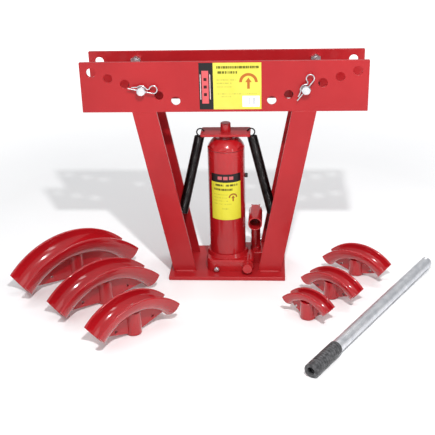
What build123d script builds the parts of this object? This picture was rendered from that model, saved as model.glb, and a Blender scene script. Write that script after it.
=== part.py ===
"""Hand-pumped hydraulic tube bender: frame, bottle jack, six bending dies and a pump handle.

Millimetres. +X is to the operator's right, +Y is away from the operator, +Z is up.
The origin is the centre of the base plate's underside, which rests on the floor.
"""

from build123d import *

import os
from math import atan2, cos, degrees, hypot, pi, radians, sin, sqrt

# Frame
PLATE_LENGTH = 560.0
PLATE_HEIGHT = 100.0
PLATE_THICKNESS = 6.0
PLATE_TOP = 462.0
FRAME_DEPTH = 100.0
BASE_LENGTH = 246.0
BASE_DEPTH = 152.0
BASE_THICKNESS = 8.0
LEG_TOP_X = 181.5
LEG_FOOT_X = 113.7
LEG_WIDTH = 48.0
LEG_WALL = 6.0
WEB_TOP = 300.0
WELD = 5.0
EDGE = 0.8

# Pin holes: six a side, in a falling row from the outer end to the middle
HOLE_COUNT = 6
HOLE_OUTER_X = 258.0
HOLE_PITCH_X = 32.8
HOLE_OUTER_DROP = 20.5
HOLE_PITCH_DROP = 11.5
HOLE_RADIUS = 9.1
PIN_HOLE_IN_USE = 3
PIN_RADIUS = 9.0
PIN_FRONT = 15.0
ROLLER_RADIUS = 28.0

# Hairpin clips through the pins
CLIP_WIRE = 1.3
CLIP_STAND_OFF = 8.0
CLIP_ANGLES = {"left": -12.0, "right": 52.0}

# Bolts on the back plate
BOLT_X = 182.0
BOLT_Z = 443.0
BOLT_RADIUS = 6.0
NUT_FLATS = 19.0
NUT_HEIGHT = 10.0

# Bottle jack
TUBE_RADIUS = 38.5
TUBE_WALL = 3.0
TUBE_BOTTOM = 35.0
TUBE_TOP = 271.0
CYLINDER_TOP = 270.0
GASKET = 1.0
GASKET_INSET = 0.7
JACK_BASE_TOP = 34.0
JACK_LEFT = 43.5
JACK_RIGHT = 57.0
JACK_FRONT = 50.0
JACK_BACK = 42.0
JACK_CORNER = 17.0
JACK_COLLAR = 8.0
CYLINDER_RADIUS = 27.0
CYLINDER_BORE = 22.0
CYLINDER_BOTTOM = 20.0
RAM_RADIUS = 19.0
RAM_BOTTOM = 24.0
RAM_TOP = 294.0
CAP_TOP = 293.0
CAP_FLAT = 24.0
CAP_FLATS = 71.2
CAP_GUIDE = 258.0
CAP_SKIRT = 256.0
RUNNING = 0.05

# The stub on the ram, and the bar under it that the return springs pull on
STUB_RADIUS = 10.7
STUB_CHAMFER = 1.2
SEAT_RADIUS = 11.7
STUB_TOP = 324.0
BAR_BOTTOM = 301.5
BAR_THICKNESS = 4.5
BAR_LENGTH = 102.0
BAR_DEPTH = 52.0
BAR_HOLE_X = 44.5
BAR_HOLE_RADIUS = 3.0

# Return springs
SPRING_TOP = (53.6, 296.3)
SPRING_END = (95.4, 122.4)
SPRING_RADIUS = 10.5
SPRING_WIRE = 1.4
HOOK_RADIUS = 7.5
LUG_HOLE = (101.5, 108.0)
LUG_HALF_HEIGHT = 10.0
LUG_NOSE = 7.0
LUG_WALL = 6.0

# Pump
PUMP_X = 60.0
PUMP_Y = 8.0
PUMP_SHANK_RADIUS = 9.0
PUMP_SHANK_BOTTOM = 24.0
PUMP_BARREL_RADIUS = 10.0
PUMP_COLLAR_FLATS = 20.0
PUMP_COLLAR_HEIGHT = 8.0
PUMP_TOP = 84.0
PUMP_SEAL_RADIUS = 8.6
PUMP_SEAL_SPAN = (72.0, 77.0)
PLUNGER_RADIUS = 7.0
PLUNGER_BOTTOM = 30.0
PLUNGER_PIN_RADIUS = 4.5
PLUNGER_NECK = 24.0
BALL_RADIUS = 3.5
BALL_SEAT = 15.0
BALL_GAP = 0.1

# Pump lever and its link
LEVER_Z = 121.0
LINK_Y = 30.0
LINK_HALF_WIDTH = 7.5
LINK_PIN_Z = 46.0
LINK_PIN_RADIUS = 5.0
LINK_PIN_HEAD = 0.9
CHEEK_INNER = 6.0
CHEEK_WALL = 3.5
CHEEK_HALF_HEIGHT = 8.0
CHEEK_GAP = 0.3
SLOT_CLEARANCE = 0.8
SLOT_TRAVEL = 5.4
SOCKET_RADIUS = 14.5
SOCKET_BORE = 12.3
SOCKET_MOUTH_Y = -54.0
SOCKET_BACK_Y = -8.0
SOCKET_DOME_Y = 13.0
SOCKET_END_WALL = 4.0
POCKET_TOP = 9.0

# Valves and plugs on the jack
VALVE_X = 43.5
VALVE_Z = 23.0
VALVE_FRONT = -52.0
KNOB_RADIUS = 10.5
KNOB_LENGTH = 17.0
KNOB_FLUTES = 14
FLUTE_RADIUS = 1.6
SPINDLE_RADIUS = 5.0
SPINDLE_TIP_Y = -34.0
SAFETY_X = -22.5
SAFETY_Z = 15.0
SAFETY_FRONT = -54.0
SAFETY_RADIUS = 5.5
SAFETY_HEAD = 4.0
SAFETY_BOTTOM_Y = -32.0
SAFETY_BALL_RADIUS = 2.0
SAFETY_SPRING_RADIUS = 2.6
SAFETY_SPRING_END_Y = -44.0
FILLER_Z = 209.0
FILLER_SHANK = 3.8
FILLER_HEAD = 4.8
FILLER_STANDS = 5.2

# Screws, seals and the stud inside the jack
SCREW_Y = 33.5
SCREW_RADIUS = 4.0
SCREW_HEAD_RADIUS = 7.6
SCREW_HEAD_HEIGHT = 4.0
SCREW_LENGTH = 18.0
SCREW_SUNK = 0.3
SCREW_SOCKET = (2.5, 2.8)
SEAL_SPAN = (275.0, 280.0)
SEAL_RADIUS = 22.5
SEAL_PLAY = 0.2
PISTON_HEIGHT = 20.0
PISTON_GROOVE = 17.5
PISTON_SEAL_SPAN = (30.0, 36.0)
HEAD_SHANK = 10.0
HEAD_SHANK_LENGTH = 22.0
HEAD_SHOULDER = 14.0

# Labels
LABEL_SPAN_X = (-47.0, 74.0)
LABEL_SPAN_Z = (367.0, 459.5)
JACK_LABEL_SPAN_Z = (123.0, 225.0)
JACK_LABEL_HALF_ANGLE = 50.0
LABEL_THICKNESS = 0.3

# Bending dies: node, tube outside diameter, x, y, turn about Z, radius and height of the lips
DIES = (
    ("die_60", 60.3, -322.3, -63.0, 41.9, 189.8, 94.8),
    ("die_48", 48.3, -242.2, -167.4, 42.4, 160.7, 80.6),
    ("die_42", 42.2, -166.3, -283.1, 44.0, 127.8, 76.3),
    ("die_33", 33.4, 273.9, -39.0, -30.9, 97.1, 60.1),
    ("die_27", 26.7, 215.3, -139.6, -37.2, 88.4, 57.9),
    ("die_21", 21.3, 165.0, -220.9, -37.1, 71.2, 55.2),
)
DIE_HALF_ANGLE = 46.0
DIE_UNDERCUT = 4.0
DIE_LIP = 4.8
DIE_WALL = 5.4
DIE_FREE = 0.2
DIE_ROUNDING = 2.0
DIE_WEB = 7.0
DIE_WEB_SHORT = 2.0
DIE_WEB_FOOT = 4.0
DIE_WEB_HOLE = 3.2
DIE_BOSS_RADIUS = 15.5
DIE_SOCKET_RADIUS = 10.9
DIE_SOCKET_DEPTH = 20.0

# Pump handle, lying on the floor
HANDLE_GRIP_END = (162.0, -423.0)
HANDLE_TURN = 57.3
HANDLE_LENGTH = 486.0
HANDLE_RADIUS = 12.0
HANDLE_WALL = 1.8
GRIP_LENGTH = 88.0
GRIP_RADIUS = 13.4
GRIP_RIBS = 12

PLATE_BOTTOM = PLATE_TOP - PLATE_HEIGHT
HALF_DEPTH = FRAME_DEPTH / 2
INNER_DEPTH = HALF_DEPTH - PLATE_THICKNESS
SIDES = {"left": -1, "right": 1}


def spot(x, y, z):
    """A translation."""
    return Pos(x, y, z)


def rod_y(radius, y0, y1, x=0.0, z=0.0):
    """A cylinder along Y from y0 to y1."""
    return spot(x, (y0 + y1) / 2, z) * Rot(90, 0, 0) * Cylinder(radius, abs(y1 - y0))


def rod_x(radius, x0, x1, y=0.0, z=0.0):
    """A cylinder along X from x0 to x1."""
    return spot((x0 + x1) / 2, y, z) * Rot(0, 90, 0) * Cylinder(radius, abs(x1 - x0))


def rod_z(radius, z0, z1, x=0.0, y=0.0):
    """A cylinder along Z from z0 to z1."""
    return spot(x, y, (z0 + z1) / 2) * Cylinder(radius, z1 - z0)


def block(x0, x1, y0, y1, z0, z1):
    """A box between two corners."""
    return spot((x0 + x1) / 2, (y0 + y1) / 2, (z0 + z1) / 2) * Box(x1 - x0, y1 - y0, z1 - z0)


def ring_z(outer, inner, z0, z1, x=0.0, y=0.0):
    """A flat ring about a vertical axis."""
    return rod_z(outer, z0, z1, x, y) - rod_z(inner, z0 - 1, z1 + 1, x, y)


def slab_xz(points, y0, y1):
    """A flat piece with the outline given as (x, z) points, from y0 to y1."""
    outline = make_face(Polyline(*[(x, y0, z) for x, z in points], close=True))
    return extrude(outline, amount=y1 - y0, dir=(0, 1, 0))


def mirrored(side, solid):
    """The right-hand solid as it is, or its mirror image for the left side."""
    return solid if side > 0 else mirror(solid, Plane.YZ)


def leg_x(z):
    """Outer face of the right leg at height z."""
    share = (z - BASE_THICKNESS) / (PLATE_BOTTOM - BASE_THICKNESS)
    return LEG_FOOT_X + share * (LEG_TOP_X - LEG_FOOT_X)


def hole_places():
    """The (x, z) of every pin hole on the right side, outer one first."""
    return [
        (HOLE_OUTER_X - i * HOLE_PITCH_X, PLATE_TOP - HOLE_OUTER_DROP - i * HOLE_PITCH_DROP)
        for i in range(HOLE_COUNT)
    ]


PIN_X, PIN_Z = hole_places()[PIN_HOLE_IN_USE]


# Frame ---------------------------------------------------------------------------------------

def base_plate():
    plate = block(-BASE_LENGTH / 2, BASE_LENGTH / 2, -BASE_DEPTH / 2, BASE_DEPTH / 2, 0, BASE_THICKNESS)
    plate = fillet(plate.edges().filter_by(Axis.Z), 3.0)
    plate = chamfer(plate.faces().sort_by(Axis.Z)[-1].edges(), EDGE)
    for y in (-SCREW_Y, SCREW_Y):
        plate -= rod_z(SCREW_RADIUS + RUNNING, -1, BASE_THICKNESS + 1, 0, y)
        plate -= spot(0, y, SCREW_HEAD_HEIGHT / 2) * Cone(SCREW_HEAD_RADIUS, SCREW_RADIUS, SCREW_HEAD_HEIGHT)
    return plate


def leg(side):
    """A steel channel, leaning in at the top, open towards the jack."""
    z0, z1 = BASE_THICKNESS, PLATE_BOTTOM
    flange = [(leg_x(z0), z0), (leg_x(z0) - LEG_WIDTH, z0), (leg_x(z1) - LEG_WIDTH, z1), (leg_x(z1), z1)]
    web = [(leg_x(z0), z0), (leg_x(z0) - LEG_WALL, z0), (leg_x(WEB_TOP) - LEG_WALL, WEB_TOP)]
    web.append((leg_x(WEB_TOP), WEB_TOP))
    channel = slab_xz(flange, -HALF_DEPTH, -HALF_DEPTH + LEG_WALL)
    channel += slab_xz(flange, HALF_DEPTH - LEG_WALL, HALF_DEPTH)
    channel += slab_xz(web, -HALF_DEPTH, HALF_DEPTH)
    return mirrored(side, channel)


def foot_welds():
    """Fillet beads along the feet of both legs, front and back."""
    beads = []
    x = leg_x(BASE_THICKNESS) - LEG_WIDTH
    z = BASE_THICKNESS
    for side in SIDES.values():
        for y_side in (-1, 1):
            y = y_side * HALF_DEPTH
            section = Polyline((x, y, z), (x, y + y_side * WELD, z), (x, y, z + WELD), close=True)
            beads.append(mirrored(side, extrude(make_face(section), amount=LEG_WIDTH, dir=(1, 0, 0))))
    return Compound(children=beads)


def cross_plate(y0, extra_holes):
    """One of the two long plates, with the falling rows of pin holes."""
    plate = block(-PLATE_LENGTH / 2, PLATE_LENGTH / 2, y0, y0 + PLATE_THICKNESS, PLATE_BOTTOM, PLATE_TOP)
    plate = fillet(plate.edges().filter_by(Axis.Y), 1.5)
    for side in SIDES.values():
        for x, z in hole_places():
            plate -= rod_y(HOLE_RADIUS, y0 - 1, y0 + PLATE_THICKNESS + 1, side * x, z)
        if extra_holes:
            bolt_hole = BOLT_RADIUS + RUNNING
            plate -= rod_y(bolt_hole, y0 - 1, y0 + PLATE_THICKNESS + 1, side * BOLT_X, BOLT_Z)
    return plate


def plate_label():
    x0, x1 = LABEL_SPAN_X
    z0, z1 = LABEL_SPAN_Z
    return block(x0, x1, -HALF_DEPTH - LABEL_THICKNESS, -HALF_DEPTH, z0, z1)


def hexagon_y(flats, y0, y1, x, z):
    """A hexagonal prism along Y."""
    sketch = Plane((x, y0, z), z_dir=(0, 1, 0)) * RegularPolygon(flats / 2, 6, major_radius=False)
    return extrude(sketch, amount=y1 - y0, dir=(0, 1, 0))


def back_bolts():
    """A bolt near each end of the back plate, its head on the outside."""
    bolts = []
    for side in SIDES.values():
        x = side * BOLT_X
        bolt = rod_y(BOLT_RADIUS, INNER_DEPTH - NUT_HEIGHT - 3, HALF_DEPTH, x, BOLT_Z)
        bolt += hexagon_y(NUT_FLATS, HALF_DEPTH, HALF_DEPTH + 7.5, x, BOLT_Z)
        bolts.append(bolt)
    return Compound(children=bolts)


def back_nuts():
    """The nuts of those bolts, on the plate's inner face."""
    nuts = []
    for side in SIDES.values():
        x = side * BOLT_X
        nut = hexagon_y(NUT_FLATS, INNER_DEPTH - NUT_HEIGHT, INNER_DEPTH, x, BOLT_Z)
        nut -= rod_y(BOLT_RADIUS + RUNNING, 0, HALF_DEPTH, x, BOLT_Z)
        nuts.append(nut)
    return Compound(children=nuts)


# Pins, clips and rollers ---------------------------------------------------------------------

def roller_pin(side):
    """A headed pin through both plates, cross-drilled in front for its clip."""
    x = side * PIN_X
    pin = rod_y(PIN_RADIUS, -HALF_DEPTH - PIN_FRONT, HALF_DEPTH + 1, x, PIN_Z)
    head = rod_y(PIN_RADIUS + 4, HALF_DEPTH + 1, HALF_DEPTH + 8, x, PIN_Z)
    pin += chamfer(head.edges().filter_by(GeomType.CIRCLE), 1.2)
    pin = chamfer(pin.edges().filter_by(GeomType.CIRCLE).sort_by(Axis.Y)[0], 1.5)
    cross_hole = Cylinder(CLIP_WIRE + 0.3, 3 * PIN_RADIUS)
    return pin - clip_frame(side) * Rot(0, 90, 0) * cross_hole


def clip_frame(side):
    """Where a clip lies: its straight leg runs along local X through the pin."""
    name = "left" if side < 0 else "right"
    place = spot(side * PIN_X, -HALF_DEPTH - CLIP_STAND_OFF, PIN_Z)
    return place * Rot(0, -CLIP_ANGLES[name], 0)


def clip_path():
    """Centre line of a hairpin clip in its own X-Z plane, the pin's axis at the origin."""
    loop_radius, bulge, neck, tail = 7.6, PIN_RADIUS + CLIP_WIRE + 0.3, 4.0, 10.0
    loop = Vector(22.5, 0, loop_radius)
    reach = hypot(loop.X, loop.Z)
    from_pin, from_loop = bulge + neck, loop_radius + neck
    along = (from_pin**2 - from_loop**2 + reach**2) / (2 * reach)
    offset = sqrt(from_pin**2 - along**2)
    ahead = loop.normalized()
    up = Vector(-ahead.Z, 0, ahead.X)
    waist = ahead * along + up * offset
    far_waist = Vector(-waist.X, 0, waist.Z)

    def arc(centre, radius, start, end):
        """Points of an arc in the X-Z plane between two angles in degrees."""
        middle = (start + end) / 2
        turn = [Vector(cos(radians(a)), 0, sin(radians(a))) for a in (start, middle, end)]
        return ThreePointArc(*[centre + t * radius for t in turn])

    def angle(v):
        return degrees(atan2(v.Z, v.X))

    origin = Vector(0, 0, 0)
    to_loop = angle(waist - loop)
    at_pin = angle(waist)
    legs = [Line((-27, 0, 0), (loop.X, 0, 0))]
    legs.append(arc(loop, loop_radius, -90, to_loop))
    legs.append(arc(waist, neck, to_loop + 180, at_pin + 180))
    legs.append(arc(origin, bulge, at_pin, 180 - at_pin))
    legs.append(arc(far_waist, neck, -at_pin, -at_pin - 35))
    end = legs[-1] @ 1
    legs.append(Line(end, end + (legs[-1] % 1) * tail))
    return Wire([leg.edge() for leg in legs])


def hairpin_clip(side):
    """A spring-wire clip: one leg goes through the pin and the other hugs it."""
    path = clip_path()
    start = Plane(path @ 0, z_dir=path % 0)
    wire = sweep(start * Circle(CLIP_WIRE), path)
    return clip_frame(side) * wire


def roller(side):
    """The steel roller that the tube bears on, free to turn on its pin."""
    gap = 2.0
    x = side * PIN_X
    body = rod_y(ROLLER_RADIUS, -INNER_DEPTH + gap, INNER_DEPTH - gap, x, PIN_Z)
    body = chamfer(body.edges().filter_by(GeomType.CIRCLE), 1.5)
    return body - rod_y(PIN_RADIUS + RUNNING, -HALF_DEPTH, HALF_DEPTH, x, PIN_Z)


# Bottle jack ---------------------------------------------------------------------------------

def jack_base():
    """The jack's cast body: sump, pump block, link ears and valve bosses in one piece."""
    collar_top = JACK_BASE_TOP + JACK_COLLAR
    main = block(-JACK_LEFT, JACK_RIGHT, -JACK_FRONT, JACK_BACK, BASE_THICKNESS, JACK_BASE_TOP)
    main = fillet(main.edges().filter_by(Axis.Z), JACK_CORNER)
    pump = block(PUMP_X - 25, PUMP_X + 20, PUMP_Y - 18, LINK_Y + 12, BASE_THICKNESS, JACK_BASE_TOP)
    pump = fillet(pump.edges().filter_by(Axis.Z), 8)
    casting = main + pump
    casting = fillet(casting.faces().sort_by(Axis.Z)[-1].outer_wire().edges(), 3)
    casting += rod_y(KNOB_RADIUS + 1.5, VALVE_FRONT, -20, VALVE_X, VALVE_Z)
    casting += rod_y(SAFETY_Z - BASE_THICKNESS, SAFETY_FRONT, -30, SAFETY_X, SAFETY_Z)
    collar = Cone(TUBE_RADIUS + 6, TUBE_RADIUS + 3, JACK_COLLAR)
    casting += spot(0, 0, JACK_BASE_TOP + JACK_COLLAR / 2) * collar
    casting -= rod_z(TUBE_RADIUS + RUNNING, JACK_BASE_TOP, collar_top + 1)
    casting -= rod_z(CYLINDER_RADIUS + RUNNING, CYLINDER_BOTTOM, collar_top)
    casting += link_ears()
    casting -= rod_z(PUMP_SHANK_RADIUS + RUNNING, PUMP_SHANK_BOTTOM, collar_top, PUMP_X, PUMP_Y)
    casting -= rod_z(BALL_RADIUS + BALL_GAP, BALL_SEAT, PUMP_SHANK_BOTTOM + 1, PUMP_X, PUMP_Y)
    seat = SPINDLE_TIP_Y + 2 * (BALL_RADIUS + 2 * BALL_GAP)
    casting -= rod_y(SPINDLE_RADIUS + RUNNING, VALVE_FRONT - 1, seat, VALVE_X, VALVE_Z)
    casting -= rod_y(SAFETY_RADIUS + RUNNING, SAFETY_FRONT - 1, SAFETY_BOTTOM_Y, SAFETY_X, SAFETY_Z)
    for y in (-SCREW_Y, SCREW_Y):
        casting -= rod_z(SCREW_RADIUS + RUNNING, BASE_THICKNESS - 1, SCREW_LENGTH + 1, 0, y)
    return casting


def link_ears():
    """Two ears on the jack's base, either side of the link's foot."""
    reach = CHEEK_INNER + CHEEK_WALL
    width = LINK_HALF_WIDTH + 0.5
    ears = block(PUMP_X - reach, PUMP_X + reach, LINK_Y - width, LINK_Y + width, JACK_BASE_TOP - 1, LINK_PIN_Z)
    ears += rod_x(width, PUMP_X - reach, PUMP_X + reach, LINK_Y, LINK_PIN_Z)
    ears -= block(PUMP_X - CHEEK_INNER, PUMP_X + CHEEK_INNER, LINK_Y - 20, LINK_Y + 20, JACK_BASE_TOP, 99)
    return ears - rod_x(LINK_PIN_RADIUS, PUMP_X - 20, PUMP_X + 20, LINK_Y, LINK_PIN_Z)


def base_screws():
    """Two countersunk screws that hold the jack down, from under the base plate."""
    screws = []
    socket_radius, socket_depth = SCREW_SOCKET
    for y in (-SCREW_Y, SCREW_Y):
        head = Cone(SCREW_HEAD_RADIUS - 0.1, SCREW_RADIUS, SCREW_HEAD_HEIGHT)
        screw = rod_z(SCREW_RADIUS, SCREW_SUNK, SCREW_LENGTH, 0, y)
        screw += spot(0, y, SCREW_HEAD_HEIGHT / 2) * head - rod_z(20, -SCREW_SUNK, SCREW_SUNK, 0, y)
        screws.append(screw - spot(0, y, 0) * extrude(RegularPolygon(socket_radius, 6), amount=socket_depth))
    return Compound(children=screws)


def reservoir_tube():
    """The outer oil tube, with a hole for the filler plug on the pump's side."""
    tube = ring_z(TUBE_RADIUS, TUBE_RADIUS - TUBE_WALL, TUBE_BOTTOM, TUBE_TOP)
    return tube - rod_x(FILLER_SHANK + 0.1, TUBE_RADIUS - 10, TUBE_RADIUS + 10, 0, FILLER_Z)


def tube_gaskets():
    """Seal rings under and over the oil tube, a little smaller than it outside."""
    outer, inner = TUBE_RADIUS - GASKET_INSET, TUBE_RADIUS - TUBE_WALL
    low = ring_z(outer, inner, TUBE_BOTTOM - GASKET, TUBE_BOTTOM)
    high = ring_z(outer, inner, TUBE_TOP, TUBE_TOP + GASKET)
    return Compound(children=[low, high])


def pressure_cylinder():
    return ring_z(CYLINDER_RADIUS, CYLINDER_BORE, CYLINDER_BOTTOM, CYLINDER_TOP)


def tank_nut():
    """The domed cap with wrench flats that closes the tube and guides the ram."""
    bore = RAM_RADIUS + RUNNING
    seat = TUBE_TOP + GASKET
    guide = CYLINDER_BORE - RUNNING
    skirt = CYLINDER_RADIUS + RUNNING
    stop = CYLINDER_TOP + 0.1
    seal_low, seal_high = SEAL_SPAN
    outline = Polyline(
        (bore, 0, CAP_TOP), (bore, 0, seal_high), (SEAL_RADIUS, 0, seal_high),
        (SEAL_RADIUS, 0, seal_low), (bore, 0, seal_low), (bore, 0, CAP_GUIDE), (guide, 0, CAP_GUIDE),
        (guide, 0, stop), (skirt, 0, stop), (skirt, 0, CAP_SKIRT), (skirt + 4, 0, CAP_SKIRT),
        (skirt + 4, 0, seat), (TUBE_RADIUS, 0, seat), (TUBE_RADIUS, 0, seat + 2),
    )
    dome = ThreePointArc((TUBE_RADIUS, 0, seat + 2), (32.6, 0, 284.5), (CAP_FLAT, 0, CAP_TOP))
    top = Line((CAP_FLAT, 0, CAP_TOP), (bore, 0, CAP_TOP))
    cap = revolve(make_face([outline.wire(), dome.edge(), top.edge()]), Axis.Z)
    flats = extrude(RegularPolygon(CAP_FLATS / 2, 6, major_radius=False), amount=CAP_TOP)
    keep = rod_z(2 * TUBE_RADIUS, 250, seat + 2.5)
    return cap & (flats + keep)


def rod_seal():
    """The lip seal in the cap, round the ram."""
    low, high = SEAL_SPAN
    return ring_z(SEAL_RADIUS - RUNNING, RAM_RADIUS + RUNNING, low + SEAL_PLAY, high - SEAL_PLAY)


def ram():
    """The piston and rod in one forging, tapped at the top for the stub."""
    piston = rod_z(CYLINDER_BORE - RUNNING, RAM_BOTTOM, RAM_BOTTOM + PISTON_HEIGHT)
    rod = rod_z(RAM_RADIUS, RAM_BOTTOM, RAM_TOP)
    forging = chamfer((piston + rod).edges().filter_by(GeomType.CIRCLE).sort_by(Axis.Z)[-1], 1.0)
    groove = ring_z(CYLINDER_BORE + 1, PISTON_GROOVE, *PISTON_SEAL_SPAN)
    return forging - groove - rod_z(HEAD_SHANK, RAM_TOP - HEAD_SHANK_LENGTH - 2, RAM_TOP + 1)


def piston_seal():
    return ring_z(CYLINDER_BORE - RUNNING, PISTON_GROOVE, *PISTON_SEAL_SPAN)


def ram_head():
    """The screwed-in stub for the dies, with a shoulder and a seat for the spring bar."""
    bar_top = BAR_BOTTOM + BAR_THICKNESS
    head = rod_z(HEAD_SHANK, RAM_TOP - HEAD_SHANK_LENGTH, RAM_TOP)
    head += rod_z(HEAD_SHOULDER, RAM_TOP, BAR_BOTTOM)
    head += rod_z(SEAT_RADIUS, BAR_BOTTOM, bar_top)
    head += rod_z(STUB_RADIUS, bar_top, STUB_TOP)
    return chamfer(head.faces().sort_by(Axis.Z)[-1].edges(), STUB_CHAMFER)


def spring_bar():
    """The flat bar that sits on the stub's shoulder, with a hole near each end for a spring."""
    top = BAR_BOTTOM + BAR_THICKNESS
    bar = block(-BAR_LENGTH / 2, BAR_LENGTH / 2, -BAR_DEPTH / 2, BAR_DEPTH / 2, BAR_BOTTOM, top)
    bar = fillet(bar.edges().filter_by(Axis.Z), 5)
    bar = chamfer(bar.faces().sort_by(Axis.Z)[-1].edges(), EDGE)
    bar -= rod_z(SEAT_RADIUS + RUNNING, BAR_BOTTOM - 1, top + 1)
    for side in SIDES.values():
        bar -= rod_z(BAR_HOLE_RADIUS, BAR_BOTTOM - 1, top + 1, side * BAR_HOLE_X)
    return bar


# Return springs ------------------------------------------------------------------------------

def return_spring(side):
    """A close-wound tension spring, as a plain sleeve with a hook at each end."""
    top = Vector(SPRING_TOP[0], 0, SPRING_TOP[1])
    end = Vector(SPRING_END[0], 0, SPRING_END[1])
    length = (end - top).length
    plane = Plane(end, z_dir=top - end)
    wire = 2 * SPRING_WIRE
    body = extrude(plane * Circle(SPRING_RADIUS), amount=length)
    body -= extrude(plane.offset(wire) * Circle(SPRING_RADIUS - wire), amount=length - 2 * wire)
    hook = Torus(HOOK_RADIUS, SPRING_WIRE)
    bar_hook = spot(BAR_HOLE_X + HOOK_RADIUS, 0, BAR_BOTTOM + BAR_THICKNESS / 2) * Rot(90, 0, 0) * hook
    lean = degrees(atan2(end.X - top.X, top.Z - end.Z))
    below = Vector(LUG_HOLE[0], 0, LUG_HOLE[1])
    centre = below + (top - end).normalized() * HOOK_RADIUS
    lug_hook = spot(*centre) * Rot(0, -lean, 0) * Rot(0, 90, 0) * hook
    return mirrored(side, body + bar_hook + lug_hook)


def spring_lugs():
    """Flat tabs on the inside of the leg webs, one for each spring's lower hook."""
    lugs = []
    x, z = LUG_HOLE
    low, high = z - LUG_HALF_HEIGHT, z + LUG_HALF_HEIGHT
    nose = x - LUG_NOSE
    for side in SIDES.values():
        points = [(nose, z - LUG_NOSE), (leg_x(low) - LEG_WALL, low)]
        points += [(leg_x(high) - LEG_WALL, high), (nose, z + LUG_NOSE)]
        tab = slab_xz(points, -LUG_WALL / 2, LUG_WALL / 2) - rod_y(BAR_HOLE_RADIUS, -LUG_WALL, LUG_WALL, x, z)
        lugs.append(mirrored(side, tab))
    return Compound(children=lugs)


# Pump ----------------------------------------------------------------------------------------

def pump_cylinder():
    """The screwed-in pump barrel with a gland groove near its mouth."""
    collar_top = JACK_BASE_TOP + PUMP_COLLAR_HEIGHT
    low, high = PUMP_SEAL_SPAN
    barrel = rod_z(PUMP_SHANK_RADIUS, PUMP_SHANK_BOTTOM, JACK_BASE_TOP, PUMP_X, PUMP_Y)
    collar = extrude(RegularPolygon(PUMP_COLLAR_FLATS / 2, 6, major_radius=False), amount=PUMP_COLLAR_HEIGHT)
    barrel += spot(PUMP_X, PUMP_Y, JACK_BASE_TOP) * collar
    barrel += rod_z(PUMP_BARREL_RADIUS, collar_top, PUMP_TOP, PUMP_X, PUMP_Y)
    barrel = chamfer(barrel.faces().sort_by(Axis.Z)[-1].edges(), 1)
    barrel -= rod_z(PLUNGER_RADIUS + RUNNING, PUMP_SHANK_BOTTOM - 1, PUMP_TOP + 1, PUMP_X, PUMP_Y)
    return barrel - rod_z(PUMP_SEAL_RADIUS, low, high, PUMP_X, PUMP_Y)


def pump_seal():
    low, high = PUMP_SEAL_SPAN
    outer, inner = PUMP_SEAL_RADIUS - RUNNING, PLUNGER_RADIUS + RUNNING
    return ring_z(outer, inner, low + SEAL_PLAY, high - SEAL_PLAY, PUMP_X, PUMP_Y)


def pump_plunger():
    """The plunger, flattened at the top where it goes up inside the lever."""
    width = CHEEK_INNER - CHEEK_GAP
    shoulder = LEVER_Z - PLUNGER_NECK
    plunger = rod_z(PLUNGER_RADIUS, PLUNGER_BOTTOM, shoulder, PUMP_X, PUMP_Y)
    neck = rod_z(PLUNGER_RADIUS, shoulder, LEVER_Z, PUMP_X, PUMP_Y)
    neck += rod_x(PLUNGER_RADIUS, PUMP_X - PLUNGER_RADIUS, PUMP_X + PLUNGER_RADIUS, PUMP_Y, LEVER_Z)
    plunger += neck & block(PUMP_X - width, PUMP_X + width, -20, 40, 80, 150)
    return plunger - rod_x(PLUNGER_PIN_RADIUS, PUMP_X - 20, PUMP_X + 20, PUMP_Y, LEVER_Z)


def plunger_pin():
    reach = CHEEK_INNER + CHEEK_WALL
    return rod_x(PLUNGER_PIN_RADIUS, PUMP_X - reach, PUMP_X + reach, PUMP_Y, LEVER_Z)


def pump_link():
    """The strap from the ears on the jack's base up to the lever's pivot."""
    x0, x1 = PUMP_X - CHEEK_INNER + CHEEK_GAP, PUMP_X + CHEEK_INNER - CHEEK_GAP
    link = block(x0, x1, LINK_Y - LINK_HALF_WIDTH, LINK_Y + LINK_HALF_WIDTH, LINK_PIN_Z, LEVER_Z)
    for z in (LINK_PIN_Z, LEVER_Z):
        link += rod_x(LINK_HALF_WIDTH, x0, x1, LINK_Y, z)
    for z in (LINK_PIN_Z, LEVER_Z):
        link -= rod_x(LINK_PIN_RADIUS, x0 - 1, x1 + 1, LINK_Y, z)
    return link


def link_pins():
    """The pins at both ends of the link, peened over outside the ears and the cheeks."""
    reach = CHEEK_INNER + CHEEK_WALL
    pins = []
    for z, stand in ((LINK_PIN_Z, 0.0), (LEVER_Z, CHEEK_GAP)):
        pin = rod_x(LINK_PIN_RADIUS, PUMP_X - reach - stand, PUMP_X + reach + stand, LINK_Y, z)
        for side in SIDES.values():
            x = PUMP_X + side * (reach + stand)
            pin += rod_x(LINK_PIN_RADIUS + LINK_PIN_HEAD, x, x + side * 2, LINK_Y, z)
        pins.append(pin)
    return Compound(children=pins)


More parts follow.
